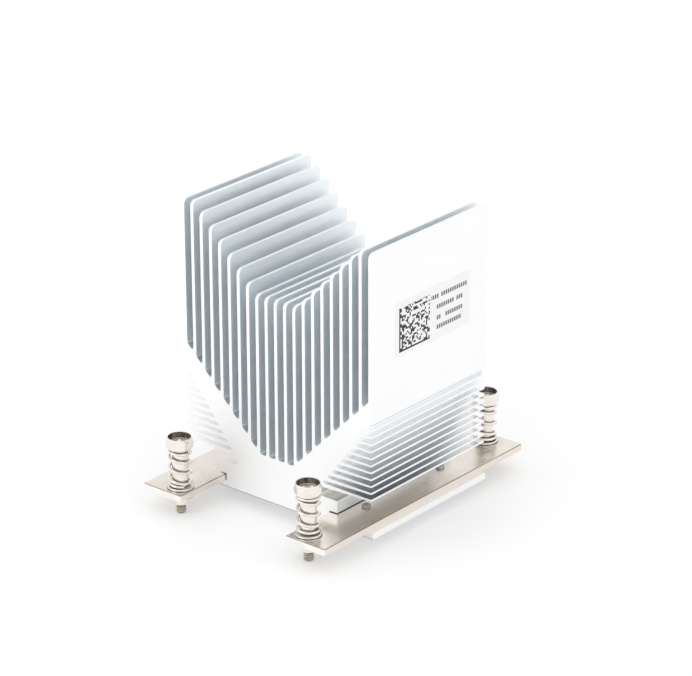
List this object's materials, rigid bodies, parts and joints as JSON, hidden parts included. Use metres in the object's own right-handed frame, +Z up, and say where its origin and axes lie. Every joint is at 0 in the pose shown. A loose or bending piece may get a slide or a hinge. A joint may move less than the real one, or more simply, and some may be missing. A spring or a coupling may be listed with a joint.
{
  "type": "passive server cpu heatsink",
  "caption": "Passive aluminium CPU heatsink with a V-shaped fin valley, level side fins and two bracket plates with captive spring screws.",
  "frame": {"origin": "middle of the flat contact face under the foot, which rests on the processor", "axes": "+Z up through the upright fins, +Y along the extrusion and the bracket plates, +X across the fins towards the labelled side"},
  "size_m": [0.0824, 0.1054, 0.1043],
  "materials": {
    "bare_aluminium": "bare extruded aluminium, satin",
    "nickel_plate": "bright nickel plating on stamped steel",
    "rivet_steel": "plated steel, slightly dull",
    "nickel_screw": "bright nickel plating, turned",
    "nickel_washer": "bright nickel plating",
    "spring_wire": "plated spring wire",
    "clip_steel": "stamped spring steel",
    "label_paper": "white matte label film"
  },
  "bodies": {
    "sink": {"heatsink_extrusion": "bare_aluminium", "bracket_left": "nickel_plate", "bracket_right": "nickel_plate", "rivet_front_left": "rivet_steel", "rivet_front_right": "rivet_steel", "rivet_rear_left": "rivet_steel", "rivet_rear_right": "rivet_steel", "spring_washer_front_left": "nickel_washer", "spring_washer_front_right": "nickel_washer", "spring_washer_rear_left": "nickel_washer", "spring_washer_rear_right": "nickel_washer", "spring_front_left": "spring_wire", "spring_front_right": "spring_wire", "spring_rear_left": "spring_wire", "spring_rear_right": "spring_wire", "label": "label_paper"},
    "clip_front_left": {"retaining_clip_front_left": "clip_steel"},
    "clip_front_right": {"retaining_clip_front_right": "clip_steel"},
    "clip_rear_left": {"retaining_clip_rear_left": "clip_steel"},
    "clip_rear_right": {"retaining_clip_rear_right": "clip_steel"},
    "screw_front_left": {"captive_screw_front_left": "nickel_screw"},
    "screw_front_right": {"captive_screw_front_right": "nickel_screw"},
    "screw_rear_left": {"captive_screw_rear_left": "nickel_screw"},
    "screw_rear_right": {"captive_screw_rear_right": "nickel_screw"}
  },
  "joints": [
    {"name": "press_front_left", "type": "slide", "parent": "sink", "child": "clip_front_left", "axis": [0, 0, -1], "range_m": [0, 0.006], "stiffness_N_per_m": 2000, "deforming": ["spring_front_left"]},
    {"name": "press_front_right", "type": "slide", "parent": "sink", "child": "clip_front_right", "axis": [0, 0, -1], "range_m": [0, 0.006], "stiffness_N_per_m": 2000, "deforming": ["spring_front_right"]},
    {"name": "press_rear_left", "type": "slide", "parent": "sink", "child": "clip_rear_left", "axis": [0, 0, -1], "range_m": [0, 0.006], "stiffness_N_per_m": 2000, "deforming": ["spring_rear_left"]},
    {"name": "press_rear_right", "type": "slide", "parent": "sink", "child": "clip_rear_right", "axis": [0, 0, -1], "range_m": [0, 0.006], "stiffness_N_per_m": 2000, "deforming": ["spring_rear_right"]},
    {"name": "turn_front_left", "type": "hinge", "parent": "clip_front_left", "child": "screw_front_left", "pos_m": [-0.028, -0.047, 0], "axis": [0, 0, 1], "continuous": true},
    {"name": "turn_front_right", "type": "hinge", "parent": "clip_front_right", "child": "screw_front_right", "pos_m": [0.028, -0.047, 0], "axis": [0, 0, 1], "continuous": true},
    {"name": "turn_rear_left", "type": "hinge", "parent": "clip_rear_left", "child": "screw_rear_left", "pos_m": [-0.028, 0.047, 0], "axis": [0, 0, 1], "continuous": true},
    {"name": "turn_rear_right", "type": "hinge", "parent": "clip_rear_right", "child": "screw_rear_right", "pos_m": [0.028, 0.047, 0], "axis": [0, 0, 1], "continuous": true}
  ]
}
